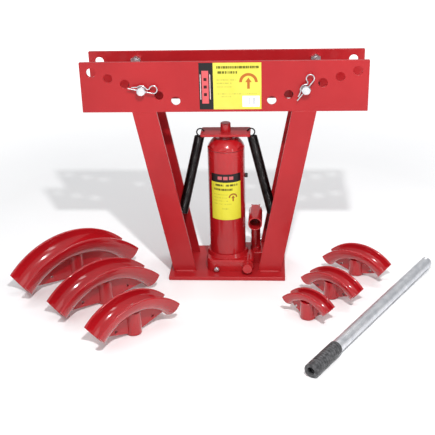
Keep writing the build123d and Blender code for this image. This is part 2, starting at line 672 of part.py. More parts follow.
def lever_socket():
    """The handle socket: a tube closed by a dome, with a forked pivot behind and a pocket below."""
    reach = CHEEK_INNER + CHEEK_WALL
    x0, x1 = PUMP_X - 20, PUMP_X + 20
    low, high = LEVER_Z - CHEEK_HALF_HEIGHT, LEVER_Z + CHEEK_HALF_HEIGHT
    socket = rod_y(SOCKET_RADIUS, SOCKET_MOUTH_Y, SOCKET_DOME_Y, PUMP_X, LEVER_Z)
    socket = chamfer(socket.faces().sort_by(Axis.Y)[0].edges(), 0.8)
    socket += spot(PUMP_X, SOCKET_DOME_Y, LEVER_Z) * Sphere(SOCKET_RADIUS)
    socket -= rod_y(SOCKET_BORE, SOCKET_MOUTH_Y - 1, SOCKET_BACK_Y - SOCKET_END_WALL, PUMP_X, LEVER_Z)
    socket += block(PUMP_X - reach, PUMP_X + reach, PUMP_Y, LINK_Y, low, high)
    socket += rod_x(CHEEK_HALF_HEIGHT, PUMP_X - reach, PUMP_X + reach, LINK_Y, LEVER_Z)
    inner = (PUMP_X - CHEEK_INNER, PUMP_X + CHEEK_INNER)
    socket -= block(*inner, SOCKET_BACK_Y, LINK_Y + 20, LEVER_Z - 30, LEVER_Z + POCKET_TOP)
    socket -= block(*inner, LINK_Y - 9, LINK_Y + 20, LEVER_Z, LEVER_Z + 20)
    slot_half = PLUNGER_PIN_RADIUS + SLOT_CLEARANCE
    near, far = PUMP_Y, PUMP_Y - SLOT_TRAVEL
    slot = block(x0, x1, far, near, LEVER_Z - slot_half, LEVER_Z + slot_half)
    slot += rod_x(slot_half, x0, x1, near, LEVER_Z) + rod_x(slot_half, x0, x1, far, LEVER_Z)
    return socket - slot - rod_x(LINK_PIN_RADIUS + RUNNING, x0, x1, LINK_Y, LEVER_Z)


# Valves and plugs ----------------------------------------------------------------------------

def check_ball():
    """The pump's non-return ball, in its seat below the barrel."""
    return spot(PUMP_X, PUMP_Y, BALL_SEAT + BALL_RADIUS + BALL_GAP) * Sphere(BALL_RADIUS)


def release_valve():
    """The screw valve that lets the oil back, with a fluted knob in front."""
    back = VALVE_FRONT - 0.4
    front = back - KNOB_LENGTH
    knob = fillet(rod_y(KNOB_RADIUS, front, back, VALVE_X, VALVE_Z).faces().sort_by(Axis.Y)[0].edges(), 1.5)
    for i in range(KNOB_FLUTES):
        turn = 2 * pi * i / KNOB_FLUTES
        reach = KNOB_RADIUS + FLUTE_RADIUS / 2
        x, z = VALVE_X + reach * cos(turn), VALVE_Z + reach * sin(turn)
        knob -= rod_y(FLUTE_RADIUS, front - 1, back - 2, x, z)
    return knob + rod_y(SPINDLE_RADIUS, back, SPINDLE_TIP_Y, VALVE_X, VALVE_Z)


def release_ball():
    """The ball that the spindle presses on its seat."""
    return spot(VALVE_X, SPINDLE_TIP_Y + BALL_RADIUS + BALL_GAP, VALVE_Z) * Sphere(BALL_RADIUS)


def filler_plug():
    """The rubber plug in the oil tube's side."""
    face = TUBE_RADIUS + 0.6
    plug = rod_x(FILLER_SHANK, TUBE_RADIUS - 5, face, 0, FILLER_Z)
    head = rod_x(FILLER_HEAD, face, face + FILLER_STANDS, 0, FILLER_Z)
    return plug + fillet(head.faces().sort_by(Axis.X)[-1].edges(), 1.8)


def safety_plug():
    """The screw over the overload valve, set at the factory."""
    plug = rod_y(SAFETY_RADIUS, SAFETY_FRONT - SAFETY_HEAD, SAFETY_SPRING_END_Y, SAFETY_X, SAFETY_Z)
    return fillet(plug.faces().sort_by(Axis.Y)[0].edges(), 1.8)


def safety_ball():
    y = SAFETY_BOTTOM_Y - SAFETY_BALL_RADIUS - BALL_GAP
    return spot(SAFETY_X, y, SAFETY_Z) * Sphere(SAFETY_BALL_RADIUS)


def safety_spring():
    """The overload valve's spring, between its plug and its ball."""
    front = SAFETY_SPRING_END_Y + BALL_GAP
    back = SAFETY_BOTTOM_Y - 2 * (SAFETY_BALL_RADIUS + 2 * BALL_GAP)
    return rod_y(SAFETY_SPRING_RADIUS, front, back, SAFETY_X, SAFETY_Z)


# Loose pieces --------------------------------------------------------------------------------

def die_section(bore, filled):
    """The rim's cross-section, groove upwards along +X, the tube's centre at the origin."""
    outer = bore / 2 + DIE_FREE + DIE_WALL
    section = Circle(outer) + Pos(outer / 2, 0) * Rectangle(outer, 2 * outer)
    if not filled:
        inner = bore / 2 + DIE_FREE
        section -= Circle(inner) + Pos(outer, 0) * Rectangle(2 * outer, 2 * inner)
    section &= Pos(DIE_LIP - outer, 0) * Rectangle(2 * outer, 2 * outer)
    if filled:
        return section
    return fillet(section.vertices().filter_by_position(Axis.X, DIE_LIP - 0.1, DIE_LIP + 0.1), DIE_ROUNDING)


def die_arch(bore, lip_radius, height, filled):
    """The section swept round the bend, the top of its lips at height, ends cut steeply."""
    centre = height - lip_radius
    sweep_angle = 2 * (DIE_HALF_ANGLE + DIE_UNDERCUT + 2)
    section = Pos(lip_radius - DIE_LIP, 0, 0) * die_section(bore, filled)
    arch = revolve(section, Axis.Y, sweep_angle)
    arch = spot(0, 0, centre) * Rot(0, -90 - sweep_angle / 2, 0) * arch
    low_radius = lip_radius - DIE_LIP - bore / 2 - DIE_FREE - DIE_WALL
    lip_angle = radians(DIE_HALF_ANGLE)
    low_angle = radians(DIE_HALF_ANGLE + DIE_UNDERCUT)
    lip_end = Vector(lip_radius * sin(lip_angle), 0, centre + lip_radius * cos(lip_angle))
    low_end = Vector(low_radius * sin(low_angle), 0, centre + low_radius * cos(low_angle))
    slope = lip_end - low_end
    top = lip_end + slope * ((height + bore - lip_end.Z) / slope.Z)
    bottom = low_end - slope
    keep = [(top.X, top.Z), (bottom.X, bottom.Z), (-bottom.X, bottom.Z), (-top.X, top.Z)]
    return arch & slab_xz(keep, -bore, bore)


def die_rim(bore, lip_radius, height):
    """The grooved rim that the tube is bent round."""
    return die_arch(bore, lip_radius, height, False)


def die_web(bore, lip_radius, height):
    """The web and boss under the rim, with the socket for the ram's stub."""
    centre = height - lip_radius
    under = lip_radius - DIE_LIP - bore / 2 - DIE_FREE - DIE_WALL / 2
    tip = radians(DIE_HALF_ANGLE - DIE_WEB_SHORT)
    foot_x = DIE_BOSS_RADIUS - 2
    end_x, end_z = under * sin(tip), centre + under * cos(tip)
    outline = Line((-end_x, 0, end_z), (-foot_x, 0, DIE_WEB_FOOT))
    outline += Line((-foot_x, 0, DIE_WEB_FOOT), (foot_x, 0, DIE_WEB_FOOT))
    outline += Line((foot_x, 0, DIE_WEB_FOOT), (end_x, 0, end_z))
    outline += ThreePointArc((end_x, 0, end_z), (0, 0, centre + under), (-end_x, 0, end_z))
    web = extrude(make_face(outline.edges()), amount=DIE_WEB / 2, both=True)
    hole_x = (DIE_BOSS_RADIUS + end_x) / 2
    hole_z = (DIE_WEB_FOOT + end_z) / 2 + 0.28 * (centre + under - end_z)
    for side in SIDES.values():
        web -= rod_y(DIE_WEB_HOLE, -DIE_WEB, DIE_WEB, side * hole_x, hole_z)
    boss = rod_z(DIE_BOSS_RADIUS, 0, centre + under)
    web += chamfer(boss.edges().sort_by(Axis.Z)[0], 1.2)
    web -= rod_z(DIE_SOCKET_RADIUS, -1, DIE_SOCKET_DEPTH)
    return web - die_arch(bore, lip_radius, height, True)


def handle_piece(solid):
    """Lay a handle piece, modelled along +X from the grip end, in its place on the floor."""
    x, y = HANDLE_GRIP_END
    return spot(x, y, GRIP_RADIUS) * Rot(0, 0, HANDLE_TURN) * solid


def handle_tube():
    """The pump handle's tube, slotted at its end to turn the release valve."""
    tube = rod_x(HANDLE_RADIUS, 8, HANDLE_LENGTH) - rod_x(HANDLE_RADIUS - HANDLE_WALL, 0, HANDLE_LENGTH + 1)
    return handle_piece(tube - block(HANDLE_LENGTH - 9, HANDLE_LENGTH + 1, -2.5, 2.5, -20, 20))


def handle_grip():
    """A ribbed rubber sleeve on the handle, open at its end."""
    grip = rod_x(GRIP_RADIUS, 0, GRIP_LENGTH)
    grip = fillet(grip.edges().filter_by(GeomType.CIRCLE), 1.2)
    pitch = (GRIP_LENGTH - 16) / (GRIP_RIBS - 1)
    for i in range(GRIP_RIBS):
        x = 8 + i * pitch
        grip -= rod_x(GRIP_RADIUS + 1, x - 0.8, x + 0.8) - rod_x(GRIP_RADIUS - 0.6, x - 1, x + 1)
    grip -= rod_x(HANDLE_RADIUS + 0.01, 8, GRIP_LENGTH + 1)
    return handle_piece(grip - rod_x(7, -1, 9))


def jack_label():
    """A thin label bent round the front of the oil tube."""
    z0, z1 = JACK_LABEL_SPAN_Z
    radius = TUBE_RADIUS + LABEL_THICKNESS
    sheet = ring_z(radius, TUBE_RADIUS, z0, z1)
    reach = 2 * TUBE_RADIUS
    half = radians(JACK_LABEL_HALF_ANGLE)
    corner = (reach * sin(half), -reach * cos(half))
    wedge = Polyline((0, 0), (-corner[0], corner[1]), (0, -2 * reach), corner, close=True)
    return sheet & spot(0, 0, z0 - 1) * extrude(make_face(wedge), amount=z1 - z0 + 2)


def all_parts():
    """Every node's name and solid."""
    parts = {
        "base_plate": base_plate(),
        "foot_welds": foot_welds(),
        "front_plate": cross_plate(-HALF_DEPTH, False),
        "back_plate": cross_plate(INNER_DEPTH, True),
        "back_bolts": back_bolts(),
        "back_nuts": back_nuts(),
        "plate_label": plate_label(),
        "spring_lugs": spring_lugs(),
        "jack_base": jack_base(),
        "base_screws": base_screws(),
        "reservoir_tube": reservoir_tube(),
        "tube_gaskets": tube_gaskets(),
        "jack_label": jack_label(),
        "pressure_cylinder": pressure_cylinder(),
        "tank_nut": tank_nut(),
        "rod_seal": rod_seal(),
        "ram": ram(),
        "piston_seal": piston_seal(),
        "ram_head": ram_head(),
        "spring_bar": spring_bar(),
        "pump_cylinder": pump_cylinder(),
        "pump_seal": pump_seal(),
        "pump_plunger": pump_plunger(),
        "plunger_pin": plunger_pin(),
        "check_ball": check_ball(),
        "pump_link": pump_link(),
        "link_pins": link_pins(),
        "lever_socket": lever_socket(),
        "release_valve": release_valve(),
        "release_ball": release_ball(),
        "filler_plug": filler_plug(),
        "safety_plug": safety_plug(),
        "safety_ball": safety_ball(),
        "safety_spring": safety_spring(),
        "handle_tube": handle_tube(),
        "handle_grip": handle_grip(),
    }
    for name, side in SIDES.items():
        parts[f"{name}_leg"] = leg(side)
        parts[f"{name}_pin"] = roller_pin(side)
        parts[f"{name}_clip"] = hairpin_clip(side)
        parts[f"{name}_roller"] = roller(side)
        parts[f"{name}_spring"] = return_spring(side)
    for node, bore, x, y, turn, lip_radius, height in DIES:
        place = spot(x, y, 0) * Rot(0, 0, turn)
        parts[node] = place * die_rim(bore, lip_radius, height)
        parts[f"{node}_web"] = place * die_web(bore, lip_radius, height)
    return parts


os.makedirs("parts", exist_ok=True)
for node, solid in all_parts().items():
    export_step(solid, f"parts/{node}.step")
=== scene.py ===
from math import cos, pi, radians, sin

import bpy
import numpy as np
from mathutils import Matrix, Vector


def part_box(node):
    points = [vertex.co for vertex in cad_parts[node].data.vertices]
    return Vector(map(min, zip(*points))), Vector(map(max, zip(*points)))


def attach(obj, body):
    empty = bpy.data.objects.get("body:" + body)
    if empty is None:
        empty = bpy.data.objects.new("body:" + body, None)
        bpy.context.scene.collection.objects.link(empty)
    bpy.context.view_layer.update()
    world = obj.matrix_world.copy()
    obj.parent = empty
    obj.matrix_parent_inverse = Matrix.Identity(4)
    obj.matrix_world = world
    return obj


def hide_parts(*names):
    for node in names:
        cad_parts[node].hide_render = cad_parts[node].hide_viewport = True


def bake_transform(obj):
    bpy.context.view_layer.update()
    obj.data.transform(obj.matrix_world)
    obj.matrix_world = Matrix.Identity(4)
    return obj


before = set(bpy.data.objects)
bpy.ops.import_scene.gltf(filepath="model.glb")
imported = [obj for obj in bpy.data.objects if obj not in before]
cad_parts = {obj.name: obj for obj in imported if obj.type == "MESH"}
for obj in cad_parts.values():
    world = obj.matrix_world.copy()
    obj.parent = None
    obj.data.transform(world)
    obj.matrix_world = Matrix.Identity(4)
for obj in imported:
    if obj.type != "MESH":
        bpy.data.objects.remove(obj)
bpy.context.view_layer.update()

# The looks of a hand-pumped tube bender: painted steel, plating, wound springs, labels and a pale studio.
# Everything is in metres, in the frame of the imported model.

# Studio camera
CAMERA_PLACE = (0.0940, -1.6312, 0.8465)
CAMERA_YAW = 4.05
CAMERA_PITCH = 24.20
CAMERA_ROLL = -1.55
CAMERA_LENS = 69.24
CAMERA_SENSOR = 36

# Studio lights: name, place, what it points at, width, height and power
LIGHTS = (
    ("key_lamp", (0.25, -1.1, 1.47), (0, 0, 0.2), 0.06, 0.06, 20),
    ("top_strip", (0.2, 0.8, 2.1), (0, -0.1, 0.05), 2.0, 0.14, 12),
    ("front_box", (-0.9, -2.4, 1.5), (0, 0, 0.3), 1.6, 1.2, 5.5),
    ("side_strip", (1.5, -1.5, 1.0), (0, 0, 0.15), 0.25, 1.3, 5.5),
)

# Studio floor: its corners and its drop below the tool, then the distances from the origin where its
# glow starts and is full, and the glow's strength
FLOOR_CORNERS = ((-8, -8), (8, -8), (8, 12), (-8, 12))
FLOOR_DROP = 0.0004
GLOW_START, GLOW_FULL, GLOW = 0.7, 2.6, 0.9

# Studio sky: its strength at the horizon, and from SKY_RISE upwards
SKY_LOW, SKY_HIGH, SKY_RISE = 0.42, 0.62, 0.9

# Return springs: wire, coil and hooks
WIRE = 0.0014
COIL = 0.0091
HOOK = 0.0075
TURNS = 62
STEPS_PER_TURN = 20
COIL_START = radians(-60)
COIL_END = radians(-30) + 2 * pi * TURNS
LOWER_HOOK_ANGLES = np.radians(range(-150, 151, 10))
UPPER_HOOK_ANGLES = np.radians(range(-30, -331, -10))
SPRING_TOP = Vector((0.0536, 0, 0.2963))
SPRING_END = Vector((0.0954, 0, 0.1224))
BAR_HOOK = Vector((0.0520, 0, 0.30375))
LUG_HOLE = Vector((0.1015, 0, 0.1080))

# How far the wire runs on past each end of a crossing before it bends, in coil radii
COIL_RUN = 1.2
LOWER_HOOK_RUN = 3
UPPER_HOOK_RUN = 2

# Foot welds: size, ripple length, points along and across, and the range that the size wanders in
WELD_SIZE = 0.0049
WELD_RIPPLE = 0.0026
WELD_STEPS_PER_RIPPLE = 5
WELD_POINTS_ACROSS = 9
WELD_WANDER = (0.86, 1.0)
WELD_WANDER_POINTS = 14

# Labels
PLATE_LABEL_CORNER = (-0.047, 0.367)
JACK_LABEL_BOTTOM = 0.123
JACK_TUBE_RADIUS = 0.0388

# Rows of print on the labels: left, right, bottom and top in millimetres, and the noise level above
# which there is ink; then the length of a stroke in each size of print
PLATE_HEADING = ((34, 116, 81, 86, 0.42), (34, 75, 71, 76, 0.42))
PLATE_PRINT = ((34, 71, 57.5, 60, 0.48), (34, 63, 51, 53.5, 0.45), (34, 64, 44, 46, 0.5),
               (34, 112, 30, 32, 0.52), (42, 62, 24.5, 26.5, 0.5))
JACK_HEADING = ((-28, 26, 75.5, 80, 0.42), (-27, 14, 66, 70.5, 0.42))
JACK_PRINT = ((-27, 4, 56, 58, 0.5), (-27, 2, 49, 51, 0.48), (-27, 4, 42, 44, 0.5),
              (-27, 12, 35, 37, 0.5), (-10, 6, 24, 27, 0.48))
HEADING_STROKE = 1.5
PRINT_STROKE = 1.1

# Pump handle
HANDLE_TURN = radians(57.3)

DIES = ("die_60", "die_48", "die_42", "die_33", "die_27", "die_21")
MILLIMETRE = 0.001
TO_MILLIMETRES = 1000.0
PAINT_SPECULAR = 0.3

# Nodes that share a finish
FRAME_NODES = ("base_plate", "left_leg", "right_leg", "front_plate", "back_plate", "spring_lugs",
               "spring_bar")
JACK_NODES = ("jack_base", "reservoir_tube", "tank_nut", "lever_socket", "ram_head", "pump_cylinder",
              "release_valve")
DIE_NODES = [die + part for die in DIES for part in ("", "_web")]
ZINC_NODES = ("back_bolts", "back_nuts", "left_pin", "right_pin", "left_clip", "right_clip",
              "safety_plug", "base_screws", "link_pins")
BARE_NODES = ("pressure_cylinder", "plunger_pin", "check_ball", "release_ball", "safety_ball",
              "safety_spring")
RUBBER_NODES = ("tube_gaskets", "rod_seal", "piston_seal", "pump_seal", "filler_plug")


def srgb(red, green, blue):
    """A colour in 0-255 screen values, as the linear values that a shader takes."""
    def linear(value):
        value /= 255
        return value / 12.92 if value <= 0.04045 else ((value + 0.055) / 1.055) ** 2.4
    return (linear(red), linear(green), linear(blue), 1.0)


# Materials -----------------------------------------------------------------------------------

class Look:
    """One material, with short calls for the nodes that make it."""

    def __init__(self, name, **sockets):
        self.material = bpy.data.materials.new(name)
        self.material.use_nodes = True
        self.tree = self.material.node_tree
        self.shader = self.tree.nodes["Principled BSDF"]
        self.where = self.add("TexCoord").outputs["Object"]
        for socket, value in sockets.items():
            self.shader.inputs[socket.replace("_", " ")].default_value = value

    def add(self, kind, inputs=None, **settings):
        """A new node with its settings, and its inputs as values or links."""
        node = self.tree.nodes.new("ShaderNode" + kind)
        for name, value in settings.items():
            setattr(node, name, value)
        for name, value in (inputs or {}).items():
            self.put(node.inputs[name], value)
        return node

    def put(self, socket, value):
        if isinstance(value, bpy.types.NodeSocket):
            self.tree.links.new(value, socket)
        else:
            socket.default_value = value

    def math(self, operation, a, b=0.0, c=0.0):
        return self.add("Math", {0: a, 1: b, 2: c}, operation=operation).outputs[0]

    def axis(self, name):
        """One coordinate of the surface point: X, Y or Z."""
        return self.add("SeparateXYZ", {0: self.where}).outputs[name]

    def noise(self, scale, detail=2.0, stretch=(1, 1, 1), turn=0.0):
        """Noise from 0 to 1, of scale features a metre, stretched along axes turned about Z."""
        inputs = {"Vector": self.where, "Rotation": (0, 0, turn), "Scale": stretch}
        place = self.add("Mapping", inputs, vector_type="TEXTURE").outputs[0]
        return self.add("TexNoise", {"Vector": place, "Scale": scale, "Detail": detail}).outputs[0]

    def spread(self, value, start, end, low=0.0, high=1.0):
        """value, taken from start..end to low..high and held there."""
        inputs = {"Value": value, "From Min": start, "From Max": end, "To Min": low, "To Max": high}
        return self.add("MapRange", inputs).outputs[0]

    def mix(self, factor, a, b):
        return self.add("Mix", {0: factor, 6: a, 7: b}, data_type="RGBA").outputs[2]

    def edges(self, radius):
        """A normal that rounds the edges, and a mask of where they are."""
        rounded = self.add("Bevel", {"Radius": radius}, samples=6).outputs[0]
        flat = self.add("NewGeometry").outputs["Normal"]
        same = self.add("VectorMath", {0: rounded, 1: flat}, operation="DOT_PRODUCT").outputs["Value"]
        slight_lean, full_lean = 0.99, 0.80
        return rounded, self.spread(same, slight_lean, full_lean)

    def bump(self, height, normal=None):
        """Relief from a height in millimetres."""
        inputs = {"Height": height, "Distance": MILLIMETRE, "Strength": 1.0}
        if normal is not None:
            inputs["Normal"] = normal
        self.put(self.shader.inputs["Normal"], self.add("Bump", inputs).outputs[0])

    def colour(self, value):
        self.put(self.shader.inputs["Base Color"], value)

    def roughness(self, value):
        self.put(self.shader.inputs["Roughness"], value)

    def box(self, u, v, left, right, bottom, top):
        """A mask of one rectangle, in millimetres of u and v."""
        across = self.math("COMPARE", u, (left + right) / 2, (right - left) / 2)
        up = self.math("COMPARE", v, (bottom + top) / 2, (top - bottom) / 2)
        return self.math("MULTIPLY", across, up)

    def dashes(self, u, row, word, gap):
        """A mask that breaks a line of print into word-like strokes along u."""
        place = self.add("CombineXYZ", {0: u, 1: row}).outputs[0]
        waves = self.add("TexNoise", {"Vector": place, "Scale": 1 / word, "Detail": 0.0}).outputs[0]
        return self.math("GREATER_THAN", waves, gap)


def enamel(name, bright, deep, rough, peel, lumps, coat):
    """Sprayed paint: patchy tone, orange peel, soft edges painted lighter in patches (partly thinned paint,
    partly a painted highlight), and cast lumps under it where lumps isn't 0.
    """
    look = Look(name, Coat_Weight=coat, Coat_Roughness=0.04, IOR=1.5, Specular_IOR_Level=PAINT_SPECULAR)
    normal, edge = look.edges(0.0011)
    tone = look.mix(look.spread(look.noise(9, 4), 0.35, 0.65), deep, bright)
    # The edges are painted lighter in patches: partly paint thinned by wear, partly a painted highlight.
    worn = look.math("MULTIPLY", edge, look.spread(look.noise(70, 3), 0.4, 0.7, 0.1, 0.55))
    thin_paint_and_highlight = tuple(min(1.0, 1.5 * value + 0.02) for value in bright[:3]) + (1.0,)
    look.colour(look.mix(worn, tone, thin_paint_and_highlight))
    look.roughness(look.spread(look.noise(45, 4), 0.3, 0.7, rough - 0.05, rough + 0.07))
    skin = look.math("MULTIPLY", look.noise(420, 2), peel)
    casting = look.math("MULTIPLY", look.noise(95, 3), lumps)
    look.bump(look.math("ADD", skin, casting), normal)
    return look.material


def plated(name, bright, dull, rough, stretch=(1, 1, 1), turn=0.0, grain=0.01, metal=1.0):
    """Bare or plated metal: clouded tone, edges painted lighter as a highlight, and fine lines along the
    stretched axis.
    """
    look = Look(name, Metallic=metal)
    normal, edge = look.edges(0.0004)
    cloud = look.spread(look.noise(60, 4), 0.3, 0.7)
    tone = look.mix(cloud, dull, bright)
    # The edges are painted halfway to the bright tone: a painted highlight.
    look.colour(look.mix(look.math("MULTIPLY", edge, 0.5), tone, bright))
    lines = look.noise(900, 3, stretch, turn)
    look.roughness(look.spread(lines, 0.3, 0.7, rough - 0.06, rough + 0.1))
    look.bump(look.math("MULTIPLY", lines, grain), normal)
    return look.material


def rubber(name, colour, worn, relief):
    """Moulded rubber: dusty tone, edges painted lighter as a highlight, and a fine matt grain."""
    look = Look(name, IOR=1.48, Sheen_Weight=0.12, Sheen_Roughness=0.5)
    normal, edge = look.edges(0.0006)
    # Lighter in dusty patches, and along the edges as a painted highlight.
    dust_and_edge_highlight = look.math("MAXIMUM", look.spread(look.noise(35, 4), 0.45, 0.75), edge)
    look.colour(look.mix(look.math("MULTIPLY", dust_and_edge_highlight, 0.7), colour, worn))
    look.roughness(look.spread(look.noise(120, 3), 0.3, 0.7, 0.5, 0.68))
    look.bump(look.math("MULTIPLY", look.noise(1300, 2), relief), normal)
    return look.material


def knurled(name, colour, worn):
    """The handle's grip: crossed diagonal grooves pressed into dark plastic."""
    look = Look(name, IOR=1.48)
    inputs = {"Vector": look.where, "Rotation": (0, 0, HANDLE_TURN)}
    place = look.add("Mapping", inputs, vector_type="TEXTURE").outputs[0]
    grooves = None
    for lean in (-45, 45):
        turned = look.add("Mapping", {"Vector": place, "Rotation": (0, radians(lean), 0)}).outputs[0]
        wave = look.add("TexWave", {"Vector": turned, "Scale": 95}).outputs[1]
        grooves = wave if grooves is None else look.math("MULTIPLY", grooves, wave)
    shade = look.math("MULTIPLY", look.spread(look.noise(160, 3), 0.35, 0.7), 0.8)
    look.colour(look.mix(shade, colour, worn))
    look.roughness(look.spread(look.noise(90, 3), 0.3, 0.7, 0.42, 0.6))
    look.bump(look.math("MULTIPLY", grooves, 0.25))
    return look.material


def print_mask(look, u, v, rows, stroke):
    """A mask of broken lines of print, from their rows and the length of a stroke in millimetres."""
    ink = 0.0
    for left, right, bottom, top, gap in rows:
        line = look.box(u, v, left, right, bottom, top)
        ink = look.math("MAXIMUM", ink, look.math("MULTIPLY", line, look.dashes(u, bottom, stroke, gap)))
    return ink


def ring_mask(look, u, v, centre, inner, outer):
    """A mask of a ring's upper half."""
    du = look.math("SUBTRACT", u, centre[0])
    dv = look.math("SUBTRACT", v, centre[1])
    squares = look.math("ADD", look.math("MULTIPLY", du, du), look.math("MULTIPLY", dv, dv))
    distance = look.math("SQRT", squares)
    band = look.math("COMPARE", distance, (inner + outer) / 2, (outer - inner) / 2)
    return look.math("MULTIPLY", band, look.math("GREATER_THAN", dv, 0.0))


def arrow_mask(look, u, v, centre, bottom, neck, top, shaft, head):
    """A mask of an upward arrow: a shaft with a triangular head."""
    away = look.math("ABSOLUTE", look.math("SUBTRACT", u, centre))
    width = look.math("MULTIPLY", look.math("SUBTRACT", top, v), head / (top - neck))
    tip = look.math("MULTIPLY", look.math("LESS_THAN", away, width), look.math("GREATER_THAN", v, neck))
    return look.math("MAXIMUM", tip, look.box(u, v, centre - shaft, centre + shaft, bottom, neck))


def label_sheet(name, paper, faded):
    """A printed vinyl sheet's look, and its slightly uneven paper colour."""
    look = Look(name, Coat_Weight=0.15, Coat_Roughness=0.12, IOR=1.5, Specular_IOR_Level=0.25)
    look.roughness(look.spread(look.noise(60, 3), 0.3, 0.7, 0.3, 0.45))
    look.bump(look.math("MULTIPLY", look.noise(160, 2), 0.05))
    return look, look.mix(look.spread(look.noise(14, 3), 0.35, 0.65), faded, paper)


def plate_label():
    """The front plate's label: a black strip with a red panel, and beside it on yellow broken print,
    a bent-tube sign and a white panel with bars."""
    look, paper = label_sheet("plate_label_print", srgb(216, 207, 84), srgb(207, 199, 68))
    u = look.math("MULTIPLY", look.math("SUBTRACT", look.axis("X"), PLATE_LABEL_CORNER[0]), TO_MILLIMETRES)
    v = look.math("MULTIPLY", look.math("SUBTRACT", look.axis("Z"), PLATE_LABEL_CORNER[1]), TO_MILLIMETRES)

    tone = look.mix(print_mask(look, u, v, PLATE_HEADING, HEADING_STROKE), paper, srgb(98, 98, 18))
    small = print_mask(look, u, v, PLATE_PRINT, PRINT_STROKE)
    tone = look.mix(look.math("MULTIPLY", small, 0.6), tone, srgb(140, 142, 60))

    tube = ring_mask(look, u, v, (96, 54), 12.5, 18)
    sign = look.math("MAXIMUM", tube, arrow_mask(look, u, v, 96, 41, 54, 63, 2.6, 6.5))
    tone = look.mix(sign, tone, srgb(176, 98, 34))

    tone = look.mix(look.box(u, v, 84, 117.5, 5, 27), tone, srgb(246, 246, 244))
    bars = look.math("MULTIPLY", look.box(u, v, 92, 110, 10, 24), look.dashes(u, 0.0, 0.8, 0.5))
    tone = look.mix(bars, tone, srgb(120, 122, 140))

    tone = look.mix(look.box(u, v, -1, 27.5, -1, 94), tone, srgb(24, 22, 24))
    tone = look.mix(look.box(u, v, 5.5, 18.5, 12, 77), tone, srgb(208, 88, 92))
    for low in (27, 42, 57):
        tone = look.mix(look.box(u, v, 9, 15, low, low + 6), tone, srgb(60, 10, 14))
    pinstripes = look.math("MAXIMUM", look.box(u, v, 2, 3.6, 20, 70), look.box(u, v, 20.6, 22.2, 20, 70))
    look.colour(look.mix(pinstripes, tone, srgb(214, 190, 190)))
    return look.material


def jack_label():
    """The jack's label, bent round the tube: a black band over broken print and a lifting sign on yellow."""
    look, paper = label_sheet("jack_label_print", srgb(220, 212, 62), srgb(211, 203, 50))
    angle = look.math("ARCTAN2", look.axis("X"), look.math("MULTIPLY", look.axis("Y"), -1.0))
    u = look.math("MULTIPLY", angle, TO_MILLIMETRES * JACK_TUBE_RADIUS)
    v = look.math("MULTIPLY", look.math("SUBTRACT", look.axis("Z"), JACK_LABEL_BOTTOM), TO_MILLIMETRES)

    tone = look.mix(print_mask(look, u, v, JACK_HEADING, HEADING_STROKE), paper, srgb(92, 84, 14))
    small = print_mask(look, u, v, JACK_PRINT, PRINT_STROKE)
    tone = look.mix(look.math("MULTIPLY", small, 0.55), tone, srgb(146, 140, 44))

    tube = ring_mask(look, u, v, (15, 50), 6.5, 9.5)
    sign = look.math("MAXIMUM", tube, arrow_mask(look, u, v, 15, 42, 49, 55, 1.5, 4))
    tone = look.mix(sign, tone, srgb(150, 82, 24))

    tone = look.mix(look.box(u, v, -40, 40, 84, 103), tone, srgb(26, 20, 22))
    for left in (-17, -5, 7):
        tone = look.mix(look.box(u, v, left, left + 9, 90, 97), tone, srgb(196, 96, 100))
    look.colour(tone)
    return look.material


def studio_floor():
    """Smooth pale board, a little uneven in its sheen, that glows white far from the tool."""
    look = Look("floor_board", IOR=1.45, Emission_Color=(1.0, 1.0, 1.0, 1.0))
    away = look.add("VectorMath", {0: look.where}, operation="LENGTH").outputs["Value"]
    glow = look.spread(away, GLOW_START, GLOW_FULL, 0.0, GLOW)
    look.put(look.shader.inputs["Emission Strength"], glow)
    look.colour(look.mix(look.spread(look.noise(2, 3), 0.3, 0.7), srgb(247, 247, 248), srgb(252, 252, 252)))
    look.roughness(look.spread(look.noise(5, 3), 0.3, 0.7, 0.34, 0.42))
    return look.material


def paint_model():
    """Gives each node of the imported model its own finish."""
    zinc = plated("zinc_plate", srgb(232, 231, 233), srgb(190, 190, 195), rough=0.27)
    bare = plated("turned_steel", srgb(205, 205, 206), srgb(160, 160, 162), rough=0.3, stretch=(1, 1, 12))
    dark = plated("oiled_steel", srgb(92, 78, 78), srgb(48, 42, 44), rough=0.34)
    chrome = plated("hard_chrome", srgb(236, 238, 240), srgb(218, 220, 224), rough=0.12,
                    stretch=(1, 1, 14), grain=0.002)
    finishes = (
        (enamel("frame_enamel", srgb(172, 30, 35), srgb(162, 24, 30),
                rough=0.36, peel=0.010, lumps=0.0, coat=0.12), FRAME_NODES),
        (enamel("jack_enamel", srgb(176, 26, 31), srgb(160, 20, 26),
                rough=0.22, peel=0.014, lumps=0.02, coat=0.5), JACK_NODES),
        (enamel("die_enamel", srgb(176, 20, 29), srgb(160, 14, 24),
                rough=0.16, peel=0.012, lumps=0.05, coat=0.8), DIE_NODES),
        (zinc, ZINC_NODES),
        (plated("drawn_zinc", srgb(226, 227, 230), srgb(196, 198, 204), rough=0.34,
                stretch=(60, 1, 1), turn=HANDLE_TURN, metal=0.8), ("handle_tube",)),
        (bare, BARE_NODES),
        (dark, ("pump_link",)),
        (plated("black_rollers", srgb(54, 50, 50), srgb(26, 24, 25), rough=0.36, stretch=(1, 14, 1)),
         ("left_roller", "right_roller")),
        (chrome, ("ram", "pump_plunger")),
        (rubber("seal_rubber", srgb(22, 22, 23), srgb(54, 52, 50), relief=0.02), RUBBER_NODES),
        (knurled("grip_plastic", srgb(48, 48, 50), srgb(104, 104, 106)), ("handle_grip",)),
        (plate_label(), ("plate_label",)),
        (jack_label(), ("jack_label",)),
    )
    for material, nodes in finishes:
        for node in nodes:
            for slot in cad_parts[node].material_slots:
                slot.material = material


# Pieces --------------------------------------------------------------------------------------

